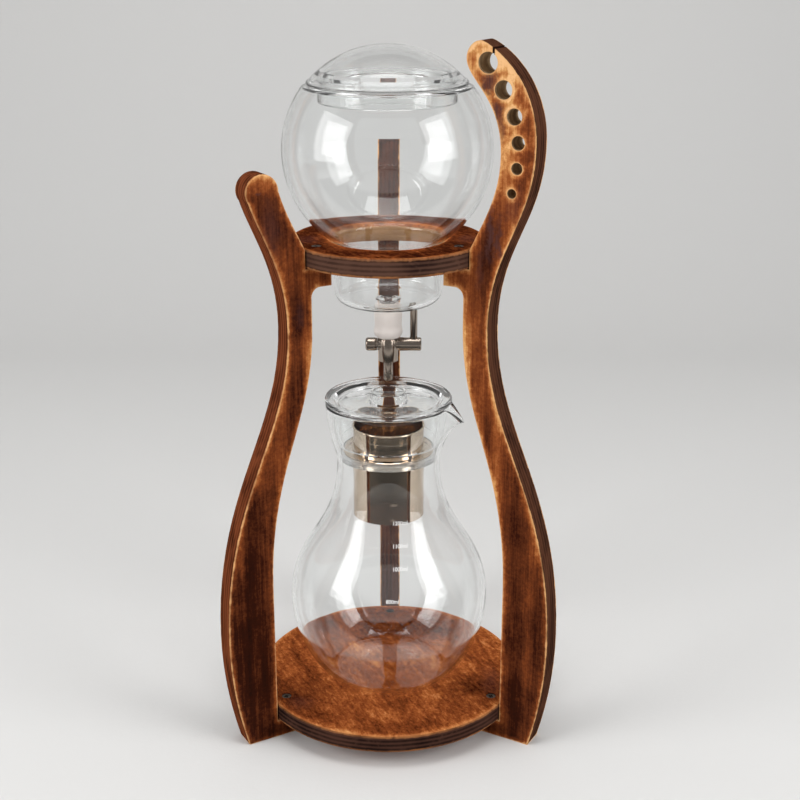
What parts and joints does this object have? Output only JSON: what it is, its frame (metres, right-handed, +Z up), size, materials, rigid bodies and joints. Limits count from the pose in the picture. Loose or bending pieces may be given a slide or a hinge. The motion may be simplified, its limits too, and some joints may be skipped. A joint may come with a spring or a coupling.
{
  "type": "cold drip coffee tower",
  "caption": "Cold drip coffee tower: curved three-legged wooden stand, lidded glass globe with a drip valve, and a glass carafe with a steel filter cup.",
  "frame": {"origin": "on the floor, on the drip axis, which is the centre of both round plates", "axes": "+Z up along the drip axis; -Y to the front, where the carafe slides out; +X to the right, on the side of the tall leg"},
  "size_m": [0.217, 0.2096, 0.45],
  "materials": {
    "plate_wood": "stained and scorched plywood, satin varnish",
    "leg_wood": "stained and scorched plywood, sanded edges, satin varnish",
    "screw_steel": "dulled steel",
    "clear_glass": "clear blown borosilicate glass",
    "white_silicone": "frosted white silicone",
    "clear_silicone": "clear silicone",
    "seal_rubber": "matte rubber",
    "valve_steel": "polished stainless steel",
    "cup_steel": "mirror polished stainless steel"
  },
  "bodies": {
    "stand": {"base_plate": "plate_wood", "upper_plate": "plate_wood", "leg_left": "leg_wood", "leg_right": "leg_wood", "leg_rear": "leg_wood", "base_screws": "screw_steel", "upper_screws": "screw_steel"},
    "globe": {"globe": "clear_glass", "globe_chamber": "clear_glass", "silicone_sleeve": "white_silicone", "valve_body": "valve_steel", "drip_tip": "valve_steel"},
    "plug": {"valve_plug": "valve_steel", "plug_seals": "seal_rubber", "lever_rod": "valve_steel", "nut_washer": "valve_steel", "retaining_nut": "valve_steel"},
    "globe_lid": {"globe_lid": "clear_glass"},
    "carafe": {"carafe": "clear_glass"},
    "cup": {"filter_cup": "cup_steel", "cup_flange": "cup_steel", "cup_seal": "clear_silicone", "cup_bottom": "cup_steel"},
    "carafe_lid": {"carafe_lid": "clear_glass"}
  },
  "joints": [
    {"name": "globe_lift", "type": "slide", "parent": "stand", "child": "globe", "axis": [0, 0, 1], "range_m": [0, 0.024]},
    {"name": "globe_lid_lift", "type": "slide", "parent": "globe", "child": "globe_lid", "axis": [0, 0, 1], "range_m": [0, 0.06]},
    {"name": "valve_turn", "type": "hinge", "parent": "globe", "child": "plug", "pos_m": [0, 0, 0.2581], "axis": [1, 0, 0], "range_deg": [0, 90]},
    {"name": "carafe_slide", "type": "slide", "parent": "stand", "child": "carafe", "axis": [0, -1, 0], "range_m": [0, 0.3]},
    {"name": "cup_lift", "type": "slide", "parent": "carafe", "child": "cup", "axis": [0, 0, 1], "range_m": [0, 0.045]},
    {"name": "carafe_lid_lift", "type": "slide", "parent": "cup", "child": "carafe_lid", "axis": [0, 0, 1], "range_m": [0, 0.018]}
  ],
  "couplings": [
    {"joint": "cup_lift", "follows": "carafe_slide", "ratio": 0.15},
    {"joint": "carafe_lid_lift", "follows": "carafe_slide", "ratio": 0.06}
  ]
}
